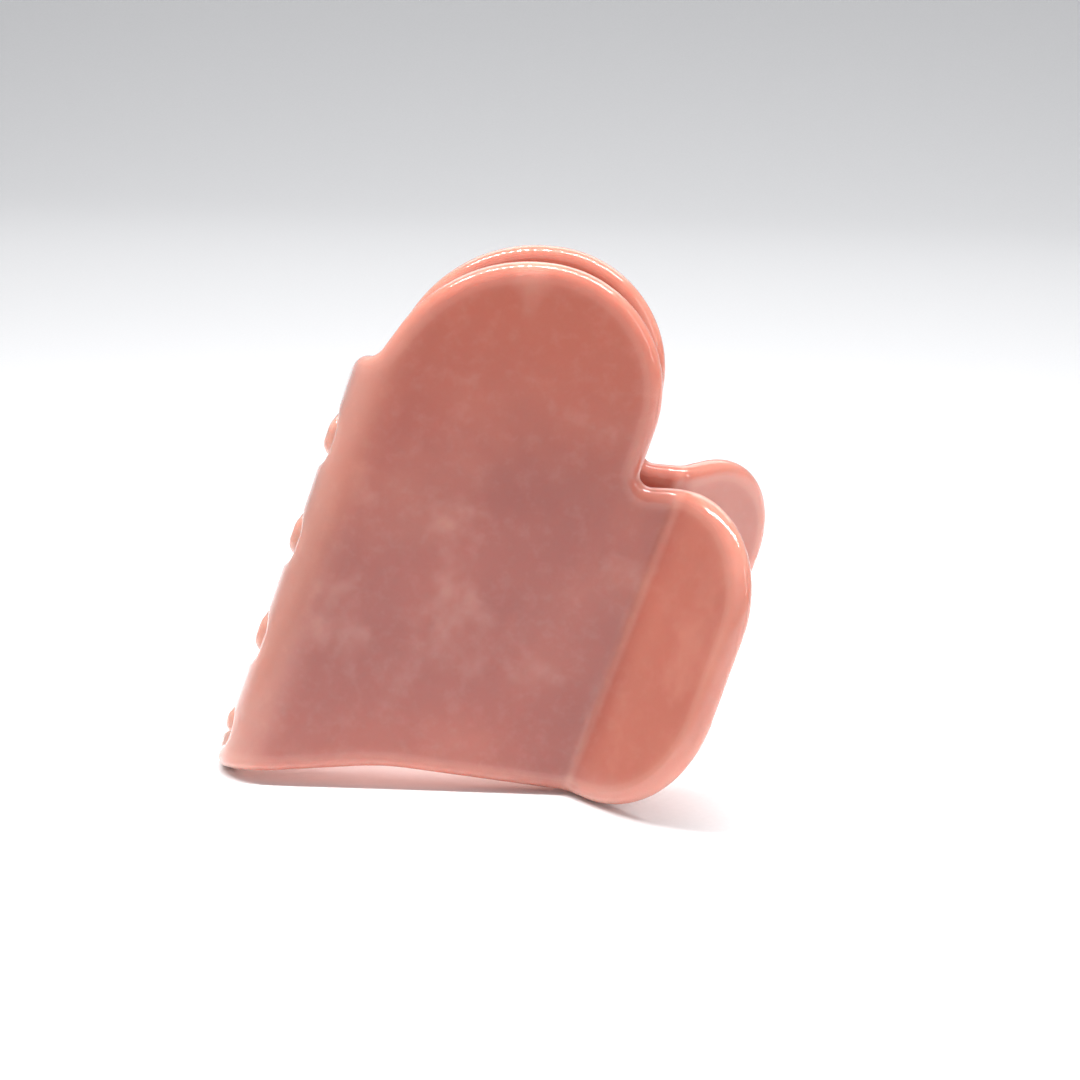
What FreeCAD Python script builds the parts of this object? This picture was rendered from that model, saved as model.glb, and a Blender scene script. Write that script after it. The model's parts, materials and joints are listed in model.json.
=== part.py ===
import FreeCAD, Part
import math
import os
from FreeCAD import Placement, Rotation, Vector

# Heart-shaped hair claw clip, standing on its side edge.
#
# Each jaw is one moulded plate of acetate: a heart outline, folded outward at a crease to make
# the squeeze handle, and bent inward along the opposite side, where it is cut into fingers.
# The jaws turn on a steel pin held in four lugs, and a torsion spring keeps them shut.
#
# Hinge frame: Z runs along the pin, X points from the pin to the handles and Y from the front
# jaw to the back jaw.  A jaw is described on its flattened sheet by two distances:
#   along  - measured parallel to the pin, from the heart's tip end
#   across - measured over the sheet from the crease, positive towards the fingers
# The finished clip is leaned over so that both handles and the tip stand on the ground.

Vector2 = FreeCAD.Base.Vector2d

SIZES = [
    # name, value in mm or degrees, meaning
    ("sheet_thickness", 3.75, "thickness of the jaw plates"),
    ("hinge_height", 6.8, "pin axis to the inner face of a jaw"),
    ("pin_across", 4.5, "distance of the pin from the crease"),
    ("handle_flare", 47, "angle of a handle to the middle plane"),
    ("body_flare", 1.5, "angle of a heart face to the middle plane"),
    ("finger_slope", 83, "angle of the finger ends to the middle plane"),
    ("crease_width", 4.4, "width of the fold between handle and heart face"),
    ("bend_start", 43.2, "where the sheet starts to bend inward"),
    ("bend_width", 13, "width of the bend before the fingers"),
    ("lobe_side_along", 90.4, "outline corner where the finger side meets the free lobe"),
    ("lobe_side_across", 44.4, "same corner"),
    ("lobe_side_radius", 23.8, "rounding of that corner"),
    ("lobe_top_along", 100.3, "outline corner at the end of the free lobe"),
    ("lobe_top_across", 7.7, "same corner"),
    ("lobe_top_radius", 19, "rounding of that corner"),
    ("notch_along", 66.7, "inner corner of the notch between the lobes"),
    ("notch_across", 7, "same corner"),
    ("notch_radius", 1.9, "rounding of the notch"),
    ("handle_top_along", 75.4, "outline corner at the notch end of the handle"),
    ("front_handle_top_across", -20.3, "same corner, front jaw"),
    ("back_handle_top_across", -24.6, "same corner, back jaw"),
    ("handle_top_radius", 16.1, "rounding of that corner"),
    ("front_handle_low_along", 22.42, "outline corner at the tip end of the front handle"),
    ("back_handle_low_along", 23.02, "the same on the back handle"),
    ("front_handle_low_across", -22.6, "same corner, front jaw"),
    ("back_handle_low_across", -26.2, "same corner, back jaw"),
    ("handle_low_radius", 22, "rounding of that corner"),
    ("waist_along", 11, "bend in the hollow edge that runs down to the tip"),
    ("waist_across", 28.1, "same bend"),
    ("waist_radius", 42, "rounding of that bend"),
    ("tip_along", -0.4, "where the hollow edge reaches the finger roots"),
    ("shoulder_along", 71.6, "where the free lobe meets the first front finger"),
    ("shoulder_across", 50.2, "same corner"),
    ("shoulder_radius", 3.6, "rounding of that corner"),
    ("finger_pitch", 17, "spacing of the fingers on one jaw"),
    ("finger_base", 5, "along distance of the lowest back finger"),
    ("finger_root", 53.4, "across distance of the slots' round ends"),
    ("finger_end", 62, "across distance of the finger ends"),
    ("finger_root_width", 11.3, "width of a finger where it leaves the sheet"),
    ("finger_end_width", 5.2, "width of a finger at its end"),
    ("finger_end_radius", 2.55, "rounding of a finger's end corners"),
    ("finger_slot_radius", 2.4, "rounding of the slots between the fingers"),
    ("top_finger_edge", 70.6, "upper root edge of the top front finger"),
    ("tip_finger_edge", 3.4, "upper edge of the small finger at the tip"),
    ("tip_finger_width", 4.6, "width of that finger"),
    ("tip_finger_radius", 2.05, "rounding of its end corners"),
    ("tip_slot_radius", 1.6, "rounding of the slot above it"),
    ("front_tip_radius", 4, "rounding where the front jaw's hollow edge meets that finger"),
    ("low_finger_edge", 4.1, "lower edge of the lowest back finger"),
    ("low_finger_root", 10, "upper root edge of that finger"),
    ("low_finger_width", 4, "width of its end"),
    ("low_finger_radius", 1.95, "rounding of its end corners"),
    ("low_slot_radius", 1, "rounding at the root of that edge"),
    ("back_tip_radius", 2, "rounding where the back jaw's hollow edge meets that root"),
    ("edge_taper", 0.1, "how far these two edges move between root and end"),
    ("hinge_along", 43, "middle of the hinge"),
    ("pin_radius", 1.25, "radius of the hinge pin"),
    ("head_radius", 1.9, "radius of the pin's peened heads"),
    ("head_height", 0.8, "height of a head"),
    ("head_rounding", 0.48, "rounding of a head's rim"),
    ("lug_radius", 3.2, "half width of a lug and radius of its round end"),
    ("lug_thickness", 3.2, "thickness of a lug along the pin"),
    ("lug_gap", 0.3, "side clearance between neighbouring lugs"),
    ("running_gap", 0.06, "radial clearance of the pin in the front lugs"),
    ("coil_radius", 3.2, "mean radius of the spring coil"),
    ("coil_length", 9.6, "length of the coil between its end turns"),
    ("coil_space", 11.6, "room for the spring between the front lugs"),
    ("wire_radius", 0.6, "radius of the spring wire"),
    ("leg_across", -12, "where the ends of the legs bear on the handles"),
    ("leg_gap", 0.05, "play between a leg and its handle"),
    ("lean_angle", 19.1, "lean of the hinge axis from upright when the clip stands"),
]

NAMES = {name for name, _, _ in SIZES}
COIL_TURNS = 7
EDGE_STEPS = 8
CREASE_STEPS = 6
BEND_STEPS = 10
STRIP_MARGIN = 10
SHEET_START = -27
SHEET_END = 63

doc = FreeCAD.newDocument("hair_claw_clip")
sheet = doc.addObject("Spreadsheet::Sheet", "sizes")
for row, (name, value, meaning) in enumerate(SIZES, start=1):
    sheet.set(f"A{row}", meaning)
    sheet.set(f"B{row}", str(value))
    sheet.setAlias(f"B{row}", name)
doc.recompute()


def size(name):
    return float(sheet.get(name))


# ---------------------------------------------------------------- cross-section of a jaw

def eased(fraction):
    """0 to 1 with no kink at either end, so that the sheet's curvature starts gently."""
    fraction = min(max(fraction, 0.0), 1.0)
    return fraction * fraction * (3 - 2 * fraction)


def sheet_angle(across):
    """Direction of the sheet in the cross-section, in radians, 0 parallel to the middle plane."""
    crease = eased((across + size("crease_width") / 2) / size("crease_width"))
    bend = eased((across - size("bend_start")) / size("bend_width"))
    degrees = -size("handle_flare")
    degrees += (size("handle_flare") + size("body_flare")) * crease
    degrees -= (size("finger_slope") + size("body_flare")) * bend
    return math.radians(degrees)


def sheet_curvature(across, step=1e-4):
    return (sheet_angle(across + step) - sheet_angle(across - step)) / (2 * step)


def middle_point(across):
    """Middle of the sheet as (distance from the pin towards the fingers, height)."""
    start = size("pin_across")
    steps = 2 * max(4, int(abs(across - start) * 10))
    step = (across - start) / steps
    toward = 0.0
    height = 0.0
    for index in range(steps + 1):
        weight = 1 if index in (0, steps) else 4 if index % 2 else 2
        angle = sheet_angle(start + index * step)
        toward += weight * math.cos(angle) * step / 3
        height += weight * math.sin(angle) * step / 3
    reach = size("hinge_height") + size("sheet_thickness") / 2
    flare = math.radians(size("body_flare"))
    return toward - reach * math.sin(flare), height + reach * math.cos(flare)


def sheet_stations():
    """Across distances at which the cross-section curve has its knots."""
    crease = size("crease_width")
    stations = [SHEET_START]
    stations += [crease * (i / CREASE_STEPS - 0.5) for i in range(CREASE_STEPS + 1)]
    bend = size("bend_width")
    stations += [size("bend_start") + bend * i / BEND_STEPS for i in range(BEND_STEPS + 1)]
    stations.append(SHEET_END)
    return stations


STATIONS = sheet_stations()
MIDDLE = [middle_point(across) for across in STATIONS]


def sheet_surface(offset, side):
    """The sheet's surface at a height offset from its middle.

    Its first parameter is the across distance and its second the along distance, so an outline
    drawn on the flattened sheet lies on the bent sheet unchanged.
    """
    points = []
    slopes = []
    for across, (toward, height) in zip(STATIONS, MIDDLE):
        angle = sheet_angle(across)
        stretch = 1 - offset * sheet_curvature(across)
        points.append((toward - offset * math.sin(angle), height + offset * math.cos(angle)))
        slopes.append((math.cos(angle) * stretch, math.sin(angle) * stretch))
    poles = [points[0]]
    for i in range(len(STATIONS) - 1):
        third = (STATIONS[i + 1] - STATIONS[i]) / 3
        poles.append(tuple(p + third * d for p, d in zip(points[i], slopes[i])))
        poles.append(tuple(p - third * d for p, d in zip(points[i + 1], slopes[i + 1])))
    poles.append(points[-1])
    curve = Part.BSplineCurve()
    knots = [4] + [2] * (len(STATIONS) - 2) + [4]
    vectors = [Vector(-toward, side * height, 0) for toward, height in poles]
    curve.buildFromPolesMultsKnots(vectors, knots, STATIONS, False, 3)
    return Part.SurfaceOfExtrusion(curve, Vector(0, 0, 1))


# ---------------------------------------------------------------- flat outline of a jaw

def corner(name, jaw=""):
    """One rounded corner (along, across, radius); a jaw may have its own along or across."""
    own = [f"{jaw}_{name}_{part}" for part in ("along", "across")]
    shared = [f"{name}_{part}" for part in ("along", "across")]
    place = [size(mine if mine in NAMES else both) for mine, both in zip(own, shared)]
    return (*place, size(f"{name}_radius"))


def heart_corners(jaw):
    """The corners from the free lobe round the handle to the tip."""
    names = ("lobe_side", "lobe_top", "notch", "handle_top", "handle_low", "waist")
    return [corner(name, jaw) for name in names]


def finger(low, high):
    """A tapered finger between two root edges, with a full round end."""
    middle = (low + high) / 2
    half = size("finger_end_width") / 2
    root = size("finger_root")
    end = size("finger_end")
    slot = size("finger_slot_radius")
    tip = size("finger_end_radius")
    return [(low, root, slot), (middle - half, end, tip),
            (middle + half, end, tip), (high, root, slot)]


def finger_row(first, count):
    """A row of whole fingers, the first centred at the along distance given."""
    half = size("finger_root_width") / 2
    centres = [first + i * size("finger_pitch") for i in range(count)]
    return [corner for centre in centres for corner in finger(centre - half, centre + half)]


def front_outline():
    """The front jaw: a small finger at the tip, then four fingers up to the shoulder."""
    root = size("finger_root")
    end = size("finger_end")
    tip_edge = size("tip_finger_edge")
    tip_end = tip_edge - size("edge_taper")
    tip_round = size("tip_finger_radius")
    first = size("finger_base") + size("finger_pitch") / 2
    corners = [(size("tip_along"), root, size("front_tip_radius"))]
    corners += [(tip_end - size("tip_finger_width"), end, tip_round), (tip_end, end, tip_round)]
    corners.append((tip_edge, root, size("tip_slot_radius")))
    corners += finger_row(first, 3)
    top_low = first + 3 * size("finger_pitch") - size("finger_root_width") / 2
    corners += finger(top_low, size("top_finger_edge"))
    corners.append(corner("shoulder"))
    return corners + heart_corners("front")


def back_outline():
    """The back jaw: a narrow low finger and three whole ones, which close into the front slots."""
    root = size("finger_root")
    end = size("finger_end")
    low = size("low_finger_edge")
    low_end = low + size("edge_taper")
    low_round = size("low_finger_radius")
    corners = [(size("tip_along"), root, size("back_tip_radius"))]
    corners.append((low, root, size("low_slot_radius")))
    corners += [(low_end, end, low_round), (low_end + size("low_finger_width"), end, low_round)]
    corners.append((size("low_finger_root"), root, size("finger_slot_radius")))
    corners += finger_row(size("finger_base") + size("finger_pitch"), 3)
    return corners + heart_corners("back")


def inset(corners, distance):
    """The closed outline moved inward: round corners shrink, hollow ones grow."""
    sides = []
    for (along, across, _), (next_along, next_across, _) in zip(corners, corners[1:] + corners[:1]):
        length = math.hypot(next_along - along, next_across - across)
        run = ((next_along - along) / length, (next_across - across) / length)
        sides.append((along + run[1] * distance, across - run[0] * distance, run))
    moved = []
    for i, (_, _, radius) in enumerate(corners):
        along, across, before = sides[i - 1]
        next_along, next_across, after = sides[i]
        turn = before[0] * after[1] - before[1] * after[0]
        gap = (next_along - along) * after[1] - (next_across - across) * after[0]
        travel = gap / turn
        radius += distance if turn > 0 else -distance
        moved.append((along + before[0] * travel, across + before[1] * travel, radius))
    return moved


def rounded_path(corners):
    """Lines and arcs, as flat curves with across first, round a closed list of corners."""
    trimmed = []
    for i, (along, across, radius) in enumerate(corners):
        point = Vector(across, along, 0)
        before = Vector(corners[i - 1][1], corners[i - 1][0], 0) - point
        following = corners[(i + 1) % len(corners)]
        after = Vector(following[1], following[0], 0) - point
        half = before.getAngle(after) / 2
        before.normalize()
        after.normalize()
        back = radius / math.tan(half)
        middle = (before + after).normalize() * (radius / math.sin(half) - radius)
        trimmed.append((point + before * back, point + middle, point + after * back))
    path = []
    for i, points in enumerate(trimmed):
        start, middle, end = [Vector2(point.x, point.y) for point in points]
        path.append(Part.Geom2d.ArcOfCircle2d(start, middle, end))
        following = trimmed[(i + 1) % len(trimmed)][0]
        if (following - points[2]).Length > 1e-6:
            path.append(Part.Geom2d.Line2dSegment(end, Vector2(following.x, following.y)))
    return path


# ---------------------------------------------------------------- a jaw as one solid

def cutting_face(across, side):
    """A strip square to the sheet, parallel to the pin."""
    toward, height = middle_point(across)
    angle = sheet_angle(across)
    middle = Vector(-toward, side * height, 0)
    out = Vector(math.sin(angle), side * math.cos(angle), 0) * (2 * size("sheet_thickness"))
    low = Vector(0, 0, -STRIP_MARGIN)
    high = Vector(0, 0, size("lobe_top_along") + STRIP_MARGIN)
    outline = [middle - out + low, middle + out + low, middle + out + high, middle - out + high]
    return Part.Face(Part.makePolygon(outline + outline[:1]))


def split_cap(cap, side):
    """One side of a jaw, cut at the crease and the bend so that its flat part is a true plane."""
    ends = (size("crease_width") / 2, size("bend_start"))
    strips = [cutting_face(across, side) for across in ends]
    low_x, high_x = sorted(size("pin_across") - across for across in ends)
    pieces = []
    for piece in cap.generalFuse(strips)[1][0]:
        if low_x < piece.CenterOfMass.x < high_x:
            points = [vertex.Point for vertex in piece.OuterWire.Vertexes]
            lowest = min(points, key=lambda point: point.z)
            highest = max(points, key=lambda point: point.z)
            rise = highest - lowest
            widest = max(points, key=lambda point: point.distanceToLine(lowest, rise))
            piece = Part.Face(Part.Plane(lowest, highest, widest), piece.OuterWire)
        pieces.append(piece)
    return pieces


def jaw_solid(corners, side):
    """The bent plate with a full round edge all the way round its outline.

    The round edge passes through the outline drawn at several heights in the sheet, each one
    moved inward by as much as the edge has rounded off there.
    """
    radius = size("sheet_thickness") / 2
    levels = []
    for step in range(EDGE_STEPS + 1):
        angle = math.pi * (step / EDGE_STEPS - 0.5)
        surface = sheet_surface(radius * math.sin(angle), side)
        path = rounded_path(inset(corners, radius * (1 - math.cos(angle))))
        levels.append((surface, [curve.toShape(surface) for curve in path]))
    rim = Part.makeLoft([Part.Wire(edges) for _, edges in levels], False, False)
    faces = rim.Faces
    for surface, edges in (levels[0], levels[-1]):
        face = Part.Face(surface, Part.Wire(edges))
        face.validate()
        faces += split_cap(face, side)
    shell = Part.Compound(faces)
    shell.sewShape()
    solid = Part.makeSolid(shell if shell.ShapeType == "Shell" else shell.Shells[0])
    return solid if solid.Volume > 0 else solid.reversed()


def add_feature(name, shape):
    feature = doc.addObject("Part::Feature", name)
    feature.Shape = shape
    return feature


# ---------------------------------------------------------------- hinge

def bind(item, **expressions):
    for prop, expression in expressions.items():
        item.setExpression(prop, expression)


def add_lug(name, side, bottom, bore):
    """A lug with a round end, standing on the inner face of its jaw."""
    block = doc.addObject("Part::Box", f"{name}_block")
    bind(block, Length="2 * sizes.lug_radius", Width="sizes.hinge_height",
         Height="sizes.lug_thickness")
    block.setExpression(".Placement.Base.x", "-sizes.lug_radius")
    if side < 0:
        block.setExpression(".Placement.Base.y", "-sizes.hinge_height")
    end = doc.addObject("Part::Cylinder", f"{name}_end")
    bind(end, Radius="sizes.lug_radius", Height="sizes.lug_thickness")
    body = doc.addObject("Part::Fuse", f"{name}_body")
    body.Base = block
    body.Tool = end
    hole = doc.addObject("Part::Cylinder", f"{name}_hole")
    bind(hole, Radius=bore, Height="sizes.lug_thickness")
    lug = doc.addObject("Part::Cut", name)
    lug.Base = body
    lug.Tool = hole
    turn = Rotation(Vector(0, 0, 1), -side * size("body_flare"))
    return lug, Placement(Vector(0, 0, bottom), turn)


def add_pin(length):
    """The hinge pin with a peened head at each end."""
    shaft = doc.addObject("Part::Cylinder", "pin_shaft")
    bind(shaft, Radius="sizes.pin_radius")
    shaft.Height = length
    heads = []
    for name, base in (("pin_low_head", -size("head_height")), ("pin_high_head", length)):
        head = doc.addObject("Part::Cylinder", name)
        bind(head, Radius="sizes.head_radius", Height="sizes.head_height")
        head.Placement.Base.z = base
        heads.append(head)
    joined = doc.addObject("Part::MultiFuse", "pin_body")
    joined.Shapes = [shaft] + heads
    doc.recompute()
    ends = (-size("head_height"), length + size("head_height"))
    rims = [i for i, edge in enumerate(joined.Shape.Edges, start=1)
            if edge.Closed and min(abs(edge.CenterOfMass.z - end) for end in ends) < 1e-6]
    pin = doc.addObject("Part::Fillet", "hinge_pin")
    pin.Base = joined
    rounding = size("head_rounding")
    pin.Edges = [(i, rounding, rounding) for i in rims]
    return pin


def leg_end(side):
    """Where the end of a spring leg lies against the inner face of its handle."""
    across = size("leg_across")
    toward, height = middle_point(across)
    angle = sheet_angle(across)
    inset_depth = size("sheet_thickness") / 2 + size("wire_radius") + size("leg_gap")
    return Vector(-toward - inset_depth * math.sin(angle),
                  side * (height - inset_depth * math.cos(angle)), 0)


def spring_solid():
    """The wire: a straight leg, a coil turning upward and a leg to the other handle."""
    radius = size("coil_radius")
    front = leg_end(-1)
    reach = math.hypot(front.x, front.y)
    touch = math.atan2(front.y, front.x) + math.acos(radius / reach)
    sweep = 2 * math.pi * COIL_TURNS - 2 * touch
    low = size("hinge_along") - size("coil_length") / 2

    def on_coil(fraction):
        angle = touch + sweep * fraction
        height = low + size("coil_length") * fraction
        return Vector(radius * math.cos(angle), radius * math.sin(angle), height)

    steps = 4 * COIL_TURNS
    edges = [Part.Arc(on_coil(i / steps), on_coil((i + 0.5) / steps), on_coil((i + 1) / steps))
             for i in range(steps)]
    start = edges[0].tangent(edges[0].FirstParameter)[0]
    finish = edges[-1].tangent(edges[-1].LastParameter)[0]
    straight = math.sqrt(reach ** 2 - radius ** 2)
    first_end = on_coil(0) - start * straight
    last_end = on_coil(1) + finish * straight
    edges = [Part.LineSegment(first_end, on_coil(0))] + edges
    edges.append(Part.LineSegment(on_coil(1), last_end))
    path = Part.Wire([edge.toShape() for edge in edges])
    circle = Part.Circle(first_end, start, size("wire_radius"))
    return path.makePipeShell([Part.Wire([circle.toShape()])], True, False)


front_jaw = add_feature("front_jaw", jaw_solid(front_outline(), -1))
back_jaw = add_feature("back_jaw", jaw_solid(back_outline(), 1))
spring = add_feature("torsion_spring", spring_solid())

inner_low = size("hinge_along") - size("coil_space") / 2 - size("lug_thickness")
inner_high = size("hinge_along") + size("coil_space") / 2
outer_low = inner_low - size("lug_gap") - size("lug_thickness")
outer_high = inner_high + size("lug_thickness") + size("lug_gap")
running = "sizes.pin_radius + sizes.running_gap"
pressed = "sizes.pin_radius"
lugs = [
    add_lug("front_hinge_lug_lower", -1, inner_low, running),
    add_lug("front_hinge_lug_upper", -1, inner_high, running),
    add_lug("back_hinge_lug_lower", 1, outer_low, pressed),
    add_lug("back_hinge_lug_upper", 1, outer_high, pressed),
]
pin = add_pin(outer_high + size("lug_thickness") - outer_low)
doc.recompute()

# ---------------------------------------------------------------- stand the clip up

lean = Placement(Vector(), Rotation(Vector(0, 1, 0), size("lean_angle")))
placed = [(front_jaw, Placement()), (back_jaw, Placement()), (spring, Placement())]
placed += lugs
placed.append((pin, Placement(Vector(0, 0, outer_low), Rotation())))
for item, local in placed:
    item.Placement = lean.multiply(local)
doc.recompute()

bounds = FreeCAD.BoundBox()
for item, _ in placed:
    bounds.add(item.Shape.optimalBoundingBox(False, False))
stand = Vector(-bounds.Center.x, -bounds.Center.y, -bounds.ZMin)
for item, _ in placed:
    item.Placement.Base = item.Placement.Base + stand
doc.recompute()

# ---------------------------------------------------------------- check and write

for item in doc.Objects:
    if "Invalid" in item.State or "Error" in item.State:
        raise RuntimeError(f"{item.Name} failed to build: {item.State}")

os.makedirs("parts", exist_ok=True)
for item, _ in placed:
    item.Label = item.Name
    if item.Shape.isNull() or not item.Shape.isValid():
        raise RuntimeError(f"{item.Name} has no valid shape")
    item.Shape.exportStep(f"parts/{item.Label}.step")
    print(f"{item.Label}: {item.Shape.Volume / 1000:.3f} cm3, {len(item.Shape.Solids)} solid")
print("pin axis passes", stand, "lean", size("lean_angle"))
print("size", bounds.XLength, bounds.YLength, bounds.ZLength)
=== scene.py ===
import json
import math

import bmesh
import bpy
from mathutils import Matrix, Vector


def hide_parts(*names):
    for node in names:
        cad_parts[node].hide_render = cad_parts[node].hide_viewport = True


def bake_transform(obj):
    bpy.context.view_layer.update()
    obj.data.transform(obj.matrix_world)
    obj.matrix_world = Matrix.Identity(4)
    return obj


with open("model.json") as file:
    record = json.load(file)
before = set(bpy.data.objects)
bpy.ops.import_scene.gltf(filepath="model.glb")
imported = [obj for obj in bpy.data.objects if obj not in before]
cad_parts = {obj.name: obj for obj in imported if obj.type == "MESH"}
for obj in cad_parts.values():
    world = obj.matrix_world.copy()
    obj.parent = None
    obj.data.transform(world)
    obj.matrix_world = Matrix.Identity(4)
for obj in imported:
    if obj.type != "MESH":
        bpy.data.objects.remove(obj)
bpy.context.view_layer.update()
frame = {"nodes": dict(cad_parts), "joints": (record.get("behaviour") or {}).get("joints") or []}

# A heart-shaped acetate hair claw on a white light-box sweep.  The imported solids are shown as
# they are and get their materials here, all but the spring: a copy of it stands in for it.
# The floor, the light and the view are set up here too.

scene = bpy.context.scene
nodes = frame["nodes"]
joint = frame["joints"][0]

MM = 0.001
PIN = Vector(joint["pos_m"])
LEAN = math.atan2(-joint["axis"][0], -joint["axis"][2])

# ---------------------------------------------------------------- camera

LOOK_AT = Vector((7.89, -1.4, 38.29)) * MM
DISTANCE = 374.8 * MM
AZIMUTH = math.radians(3.85)
ELEVATION = math.radians(14.37)
ROLL = math.radians(1.03)
LENS = 80.0
SENSOR = 36.0
NEAREST_SEEN = 0.01
FARTHEST_SEEN = 20


def add_camera():
    """The camera, DISTANCE from LOOK_AT, in front of the clip and a little above it."""
    back = Vector((math.sin(AZIMUTH) * math.cos(ELEVATION),
                   -math.cos(AZIMUTH) * math.cos(ELEVATION),
                   math.sin(ELEVATION)))
    right = Vector((0, 0, 1)).cross(back).normalized()
    up = back.cross(right)
    right, up = (right * math.cos(ROLL) + up * math.sin(ROLL),
                 up * math.cos(ROLL) - right * math.sin(ROLL))
    data = bpy.data.cameras.new("camera")
    data.lens = LENS
    data.sensor_width = SENSOR
    data.clip_start = NEAREST_SEEN
    data.clip_end = FARTHEST_SEEN
    camera = bpy.data.objects.new("camera", data)
    place = Matrix((right, up, back)).transposed().to_4x4()
    place.translation = LOOK_AT + back * DISTANCE
    camera.matrix_world = place
    scene.collection.objects.link(camera)
    scene.camera = camera


add_camera()

# ---------------------------------------------------------------- node helpers

# The share of short rays into the material that meet no surface, at a rim and in the flat.
RIM_OPENNESS = 0.36
FLAT_OPENNESS = 0.96
RAYS = 6

NOISE_RANGE = (0.3, 0.7)    # most of what a noise node gives


class Shader:
    """A material under construction: short calls that add a node and return its output."""

    def __init__(self, name):
        self.material = bpy.data.materials.new(name)
        self.material.use_nodes = True
        self.tree = self.material.node_tree
        self.bsdf = self.tree.nodes["Principled BSDF"]

    def put(self, socket, value):
        """Link a node's output to the socket, or set the socket's own value."""
        if isinstance(value, bpy.types.NodeSocket):
            self.tree.links.new(value, socket)
        elif value is not None:
            socket.default_value = value

    def position(self):
        """The row frame's coordinates, turned so that Z runs along the hinge pin, in metres."""
        coords = self.tree.nodes.new("ShaderNodeTexCoord")
        turn = self.tree.nodes.new("ShaderNodeVectorRotate")
        turn.rotation_type = "Y_AXIS"
        self.put(turn.inputs["Vector"], coords.outputs["Object"])
        turn.inputs["Center"].default_value = PIN
        turn.inputs["Angle"].default_value = -LEAN
        shift = self.tree.nodes.new("ShaderNodeVectorMath")
        shift.operation = "SUBTRACT"
        self.put(shift.inputs[0], turn.outputs["Vector"])
        shift.inputs[1].default_value = PIN
        return shift.outputs["Vector"]

    def axes(self, vector):
        """The vector's X, Y and Z outputs, by name."""
        split = self.tree.nodes.new("ShaderNodeSeparateXYZ")
        self.put(split.inputs[0], vector)
        return split.outputs

    def scaled(self, vector, factors, shift=(0, 0, 0)):
        """The vector stretched by a factor along each axis, then shifted."""
        mapping = self.tree.nodes.new("ShaderNodeMapping")
        self.put(mapping.inputs["Vector"], vector)
        mapping.inputs["Scale"].default_value = factors
        mapping.inputs["Location"].default_value = shift
        return mapping.outputs["Vector"]

    def noise(self, vector, scale, detail, rough, distortion=0.0):
        """Noise with about scale features to the metre."""
        node = self.tree.nodes.new("ShaderNodeTexNoise")
        self.put(node.inputs["Vector"], vector)
        node.inputs["Scale"].default_value = scale
        node.inputs["Detail"].default_value = detail
        node.inputs["Roughness"].default_value = rough
        node.inputs["Distortion"].default_value = distortion
        return node.outputs["Fac"]

    def thinness(self, reach):
        """1 where the piece's own surface is near in every direction, as at a rim."""
        node = self.tree.nodes.new("ShaderNodeAmbientOcclusion")
        node.inside = True
        node.only_local = True
        node.samples = RAYS
        node.inputs["Distance"].default_value = reach
        return self.ramp(node.outputs["AO"], RIM_OPENNESS, FLAT_OPENNESS, 1.0, 0.0)

    def ramp(self, value, low, high, to_low=0.0, to_high=1.0):
        """Smooth step of value from low..high to to_low..to_high."""
        node = self.tree.nodes.new("ShaderNodeMapRange")
        node.interpolation_type = "SMOOTHSTEP"
        self.put(node.inputs["Value"], value)
        node.inputs["From Min"].default_value = low
        node.inputs["From Max"].default_value = high
        node.inputs["To Min"].default_value = to_low
        node.inputs["To Max"].default_value = to_high
        return node.outputs["Result"]

    def math(self, operation, first, second=None):
        node = self.tree.nodes.new("ShaderNodeMath")
        node.operation = operation
        self.put(node.inputs[0], first)
        self.put(node.inputs[1], second)
        return node.outputs[0]

    def mix(self, factor, first, second):
        """The first colour where factor is 0, the second where it is 1."""
        node = self.tree.nodes.new("ShaderNodeMix")
        node.data_type = "RGBA"
        self.put(node.inputs["Factor"], factor)
        self.put(node.inputs["A"], first)
        self.put(node.inputs["B"], second)
        return node.outputs["Result"]

    def bump(self, height, distance, strength):
        node = self.tree.nodes.new("ShaderNodeBump")
        node.inputs["Strength"].default_value = strength
        node.inputs["Distance"].default_value = distance
        self.put(node.inputs["Height"], height)
        self.put(self.bsdf.inputs["Normal"], node.outputs["Normal"])

    def set(self, **values):
        """Set the shader's own sockets by their short names here."""
        names = {"color": "Base Color", "metal": "Metallic", "rough": "Roughness", "ior": "IOR",
                 "sss": "Subsurface Weight", "sss_radius": "Subsurface Radius",
                 "sss_scale": "Subsurface Scale", "coat": "Coat Weight",
                 "coat_rough": "Coat Roughness"}
        for key, value in values.items():
            self.put(self.bsdf.inputs[names[key]], value)


def rgb(red, green, blue):
    """A colour given as 0 to 255 screen values, as the linear colour a shader takes."""
    values = [v / 255 for v in (red, green, blue)]
    linear = [v / 12.92 if v <= 0.04045 else ((v + 0.055) / 1.055) ** 2.4 for v in values]
    return (*linear, 1.0)


# ---------------------------------------------------------------- acetate

ROSE = rgb(170, 78, 62)
DEEP = rgb(154, 66, 54)
CORAL = rgb(200, 104, 76)
PEARL = rgb(198, 120, 98)
PALE = rgb(240, 192, 174)

# Where the painted light changes across the plate, from the pin: the crease to the lit handle, and
# the lit bend and the ends of the fingers.  The painted light on the lobe, a lighter coral for the
# light from above, comes in between two heights along the pin.
CREASE_X = 4.5 * MM
BEND_X = -38.0 * MM
END_X = -47.0 * MM
TOP_LIGHT_FROM = 14 * MM
TOP_LIGHT_TO = 46 * MM

# Noise features to the metre, from the broad clouds to the fine scuffs.
WARP_SCALE = 34
CLOUD_SCALE = 44
VEIN_SCALE = 60
BLOTCH_SCALE = 88
WAVE_SCALE = 110
POLISH_SCALE = 260
FLECK_SCALE = 420
SCUFF_SCALE = 900

# The noise values between which a layer of the marbling fades in.
CLOUD_RANGE = (0.46, 0.76)
BLOTCH_RANGE = (0.54, 0.74)
VEIN_RANGE = (0.58, 0.72)
FLECK_RANGE = (0.45, 0.75)
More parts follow.
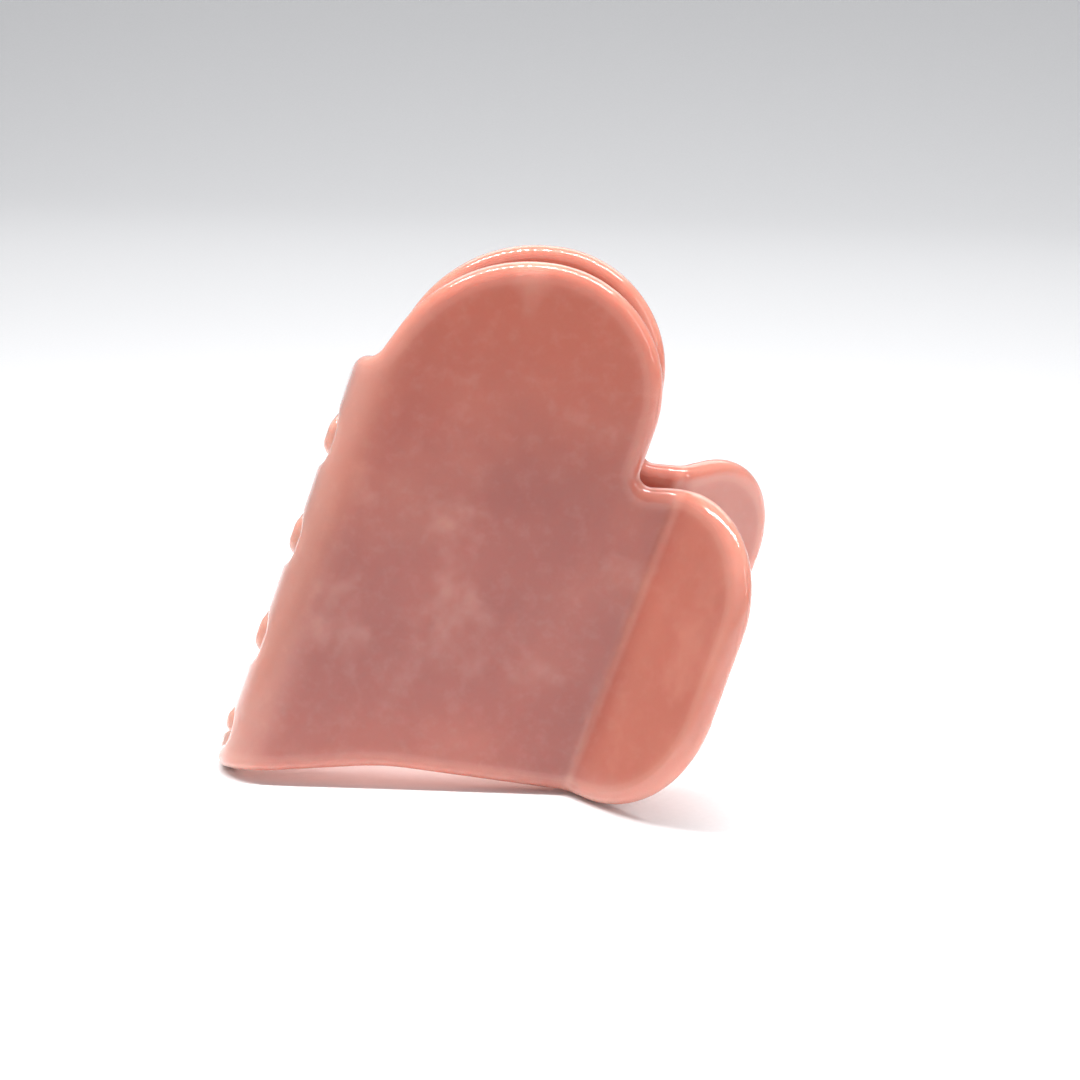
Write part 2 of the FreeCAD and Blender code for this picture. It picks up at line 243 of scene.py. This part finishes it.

# How much of its colour each layer adds, at most: the marbling, and the painted light on the top,
# the handle, the crease, the bend and the rims.
TOP_LIGHT_AMOUNT = 0.6
CLOUD_AMOUNT = 0.34
BLOTCH_AMOUNT = 0.2
VEIN_AMOUNT = 0.16
FLECK_AMOUNT = 0.06
HANDLE_LIGHT_AMOUNT = 0.55
CREASE_HIGHLIGHT_AMOUNT = 0.14
BEND_LIGHT_AMOUNT = 0.4
RIM_LIGHT_AMOUNT = 0.42

ACETATE_IOR = 1.49
SCATTER_WEIGHT = 0.85
SCATTER_RADIUS = (1.0, 0.45, 0.36)
SCATTER_DEPTH = 4.5 * MM
POLISH_ROUGHNESS = (0.05, 0.09)
COAT_WEIGHT = 0.7
COAT_ROUGHNESS = 0.03
RIM_REACH = 4 * MM
SCUFF_HEIGHT = 0.02     # of the height of the waves
WAVE_HEIGHT = 0.16 * MM


def acetate(name, seed):
    """Polished translucent acetate: soft clouds and pearly veins in rose, with painted light: a
    lighter coral on top, a paler handle, bend and rims, and a highlight along the crease.
    """
    s = Shader(name)
    place = s.position()
    shifted = s.scaled(place, (1, 1, 1), (0.013 * seed, 0.007 * seed, 0.021 * seed))
    axes = s.axes(place)
    along, across = axes["Z"], axes["X"]

    warp = s.noise(shifted, WARP_SCALE, 2, 0.5)
    clouds = s.noise(shifted, CLOUD_SCALE, 3, 0.5, 0.3)
    blotch = s.noise(s.scaled(shifted, (1, 1, 0.8), (3.1, 1.7, 0.4)), BLOTCH_SCALE, 3, 0.5, 0.2)
    veins = s.noise(s.scaled(shifted, (1.2, 1, 0.7), (5.2, 0.3, 2.2)), VEIN_SCALE, 4, 0.6, 0.7)
    flecks = s.noise(shifted, FLECK_SCALE, 3, 0.6)

    color = s.mix(s.ramp(warp, *NOISE_RANGE), DEEP, ROSE)
    # Painted light: a lighter coral toward the top of the lobe, for the light falling from above.
    color = s.mix(s.ramp(along, TOP_LIGHT_FROM, TOP_LIGHT_TO, 0.0, TOP_LIGHT_AMOUNT), color, CORAL)
    color = s.mix(s.ramp(clouds, *CLOUD_RANGE, 0.0, CLOUD_AMOUNT), color, PEARL)
    color = s.mix(s.ramp(blotch, *BLOTCH_RANGE, 0.0, BLOTCH_AMOUNT), color, PALE)
    color = s.mix(s.ramp(veins, *VEIN_RANGE, 0.0, VEIN_AMOUNT), color, CORAL)
    color = s.mix(s.ramp(flecks, *FLECK_RANGE, 0.0, FLECK_AMOUNT), color, PALE)
    # Painted light: the handle, which faces the light, is made a paler pearl.
    painted_handle_light = s.ramp(across, CREASE_X - 1.0 * MM, CREASE_X + 3.5 * MM, 0.0, HANDLE_LIGHT_AMOUNT)
    color = s.mix(painted_handle_light, color, PEARL)
    # Painted highlight: a pale line along the crease, where the fold catches the light.
    from_crease = s.math("ABSOLUTE", s.math("SUBTRACT", across, CREASE_X))
    color = s.mix(s.ramp(from_crease, 0.1 * MM, 1.1 * MM, CREASE_HIGHLIGHT_AMOUNT, 0.0), color, PALE)
    # Painted light: paler toward the fingers' ends, where the bend faces the light.
    color = s.mix(s.ramp(across, BEND_X, END_X, 0.0, BEND_LIGHT_AMOUNT), color, PALE)
    # Painted light and reflection: paler at the thin rims, for the light shining through them and
    # the white they reflect.
    color = s.mix(s.math("MULTIPLY", s.thinness(RIM_REACH), RIM_LIGHT_AMOUNT), color, PALE)

    polish = s.ramp(s.noise(shifted, POLISH_SCALE, 3, 0.5), *NOISE_RANGE, *POLISH_ROUGHNESS)
    s.set(color=color, rough=polish, ior=ACETATE_IOR, sss=SCATTER_WEIGHT,
          sss_radius=SCATTER_RADIUS, sss_scale=SCATTER_DEPTH, coat=COAT_WEIGHT,
          coat_rough=COAT_ROUGHNESS)
    waves = s.noise(shifted, WAVE_SCALE, 2, 0.45)
    scuffs = s.noise(s.scaled(shifted, (1, 1, 3.5)), SCUFF_SCALE, 2, 0.5)
    height = s.math("ADD", waves, s.math("MULTIPLY", scuffs, SCUFF_HEIGHT))
    s.bump(height, WAVE_HEIGHT, strength=0.5)
    return s.material


# ---------------------------------------------------------------- metal

RING_SCALE = 300
RING_STRETCH = (0.3, 0.3, 26)   # thin along the pin, long round it
STAIN_SCALE = 500
RING_HEIGHT = 0.02 * MM
GRAIN_SCALE = 900
DULLING_SCALE = 260
GRAIN_HEIGHT = 0.002 * MM
DULL_RANGE = (0.35, 0.7)        # the noise values between which the metal dulls
PIN_ROUGHNESS = (0.12, 0.26)
WIRE_ROUGHNESS = (0.2, 0.28)


def pin_metal():
    """Bright plated pin with faint turning marks round its axis."""
    s = Shader("bright_pin")
    place = s.position()
    rings = s.noise(s.scaled(place, RING_STRETCH), RING_SCALE, 2, 0.6)
    stain = s.noise(place, STAIN_SCALE, 3, 0.6)
    color = s.mix(s.ramp(stain, *DULL_RANGE), rgb(214, 212, 208), rgb(178, 174, 168))
    s.set(color=color, metal=1.0, rough=s.ramp(rings, *NOISE_RANGE, *PIN_ROUGHNESS))
    s.bump(rings, RING_HEIGHT, strength=0.4)
    return s.material


def wire_metal():
    """Drawn spring wire: a fine grain and a little dulling."""
    s = Shader("spring_wire")
    place = s.position()
    grain = s.noise(place, GRAIN_SCALE, 3, 0.6)
    dull = s.noise(place, DULLING_SCALE, 4, 0.6)
    color = s.mix(s.ramp(dull, *DULL_RANGE), rgb(196, 194, 190), rgb(172, 169, 165))
    s.set(color=color, metal=1.0, rough=s.ramp(grain, *NOISE_RANGE, *WIRE_ROUGHNESS))
    s.bump(grain, GRAIN_HEIGHT, strength=0.3)
    return s.material


# ---------------------------------------------------------------- pieces

FINISH = {
    "front_jaw": acetate("acetate_front", 1),
    "back_jaw": acetate("acetate_back", 4),
    "hinge_pin": pin_metal(),
    "torsion_spring": wire_metal(),
}
lug_finish = acetate("acetate_lugs", 7)
for name, piece in nodes.items():
    piece.data.materials.clear()
    piece.data.materials.append(FINISH.get(name, lug_finish))
    for polygon in piece.data.polygons:
        polygon.material_index = 0

# ---------------------------------------------------------------- spring


def twisting_spring():
    """A still copy of the spring's solid, shown in its place while the solid itself is hidden.
    """
    solid = nodes["torsion_spring"]
    wire = bpy.data.objects.new("spring_wire", solid.data.copy())
    scene.collection.objects.link(wire)
    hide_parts("torsion_spring")
    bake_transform(wire)


twisting_spring()

# ---------------------------------------------------------------- floor

SHEET_WIDTH = 2.4
SHEET_FRONT = -1.2      # where the floor starts, in front of the clip
TURN_START = 0.75       # where the floor begins to curve up
TURN_RADIUS = 0.55
TURN_STEPS = 24
SHEET_TOP = 1.6
WALL_SHADE_HEIGHT = 0.34      # where the painted shade up the wall is full
PAPER_SCALE = 900
# The wall's white is a little greyer than the floor's: painted shade, for the light falling off up
# the wall.  The paper's grain also runs between the two.
SHADED_WALL_WHITE = rgb(246, 246, 247)
FLOOR_WHITE = rgb(249, 249, 250)


def sweep():
    """A white sheet that runs back along the floor and curves up behind the clip."""
    profile = [(SHEET_FRONT, 0.0), (TURN_START, 0.0)]
    for i in range(1, TURN_STEPS + 1):
        angle = math.pi / 2 * i / TURN_STEPS
        profile.append((TURN_START + TURN_RADIUS * math.sin(angle),
                        TURN_RADIUS * (1 - math.cos(angle))))
    profile.append((TURN_START + TURN_RADIUS, SHEET_TOP))
    mesh = bmesh.new()
    rows = [[mesh.verts.new((x, y, z)) for x in (-SHEET_WIDTH / 2, SHEET_WIDTH / 2)]
            for y, z in profile]
    for (a, b), (c, d) in zip(rows, rows[1:]):
        mesh.faces.new((a, b, d, c))
    data = bpy.data.meshes.new("sweep")
    mesh.to_mesh(data)
    for polygon in data.polygons:
        polygon.use_smooth = True
    sheet = bpy.data.objects.new("sweep", data)
    scene.collection.objects.link(sheet)

    s = Shader("sweep_white")
    place = s.tree.nodes.new("ShaderNodeTexCoord").outputs["Object"]
    grain = s.noise(place, PAPER_SCALE, 2, 0.6)
    white = s.mix(s.ramp(grain, *NOISE_RANGE), SHADED_WALL_WHITE, FLOOR_WHITE)
    # Painted shade: the sheet greys toward the wall's white as it rises.
    height = s.ramp(s.axes(place)["Z"], 0.0, WALL_SHADE_HEIGHT)
    s.set(color=s.mix(height, white, SHADED_WALL_WHITE), rough=0.45)
    data.materials.append(s.material)


sweep()

# ---------------------------------------------------------------- light

WORLD_COLOR = (0.97, 0.98, 1.0, 1)
WORLD_STRENGTH = 0.46
LED_COUNT = 26
LED_STEP = 20 * MM
LED_SHIFT = 20 * MM     # of the whole strip, to the right of the clip's middle
LED_Y = -0.03
LED_HEIGHT = 0.36
LED_AIM_HEIGHT = 0.05
LED_POWER = 0.088
GLOW_X = -8 * MM
GLOW_Y = -1.4 * MM
GLOW_HEIGHT = 20 * MM
GLOW_COLOR = (1.0, 0.52, 0.42)


def add_world():
    """An even, slightly cool light from all round."""
    world = bpy.data.worlds.new("studio")
    world.use_nodes = True
    background = world.node_tree.nodes["Background"]
    background.inputs["Color"].default_value = WORLD_COLOR
    background.inputs["Strength"].default_value = WORLD_STRENGTH
    scene.world = world


def area_light(name, place, target, width, height, power, color=(1, 1, 1)):
    """A rectangular lamp at place that faces target.  Power is in watts."""
    data = bpy.data.lights.new(name, "AREA")
    data.shape = "RECTANGLE"
    data.size = width
    data.size_y = height
    data.energy = power
    data.color = color
    lamp = bpy.data.objects.new(name, data)
    aim = Vector(target) - Vector(place)
    lamp.matrix_world = (Matrix.Translation(place)
                         @ aim.to_track_quat("-Z", "Y").to_matrix().to_4x4())
    scene.collection.objects.link(lamp)


add_world()
scene.view_settings.view_transform = "Standard"
area_light("top", place=(-0.12, -0.1, 0.75), target=(0, 0, 0.03),
           width=0.8, height=0.8, power=0.1)
area_light("front", place=(-0.3, -0.8, 0.45), target=(0, 0, 0.04),
           width=0.7, height=0.5, power=0.4)
area_light("rear", place=(0.0, 0.6, 0.55), target=(0, 0.2, 0.0),
           width=1.0, height=0.4, power=2.2)
area_light("right", place=(0.42, -0.22, 0.22), target=(0, 0, 0.04),
           width=0.03, height=0.26, power=0.2)

# The light-box's strip of small lamps, for the dotted highlights along the rims.
for i in range(LED_COUNT):
    x = (i - (LED_COUNT - 1) / 2) * LED_STEP + LED_SHIFT
    area_light(f"led_{i:02d}", place=(x, LED_Y, LED_HEIGHT), target=(x, 0, LED_AIM_HEIGHT),
               width=6 * MM, height=44 * MM, power=LED_POWER)

# Light that the translucent plates let down onto the floor between them.  Cycles drops the
# scattering inside the plates for light seen by the floor, so it is put back here.
area_light("plate_glow", place=(GLOW_X, GLOW_Y, GLOW_HEIGHT), target=(GLOW_X, GLOW_Y, 0),
           width=52 * MM, height=12 * MM, power=0.003, color=GLOW_COLOR)
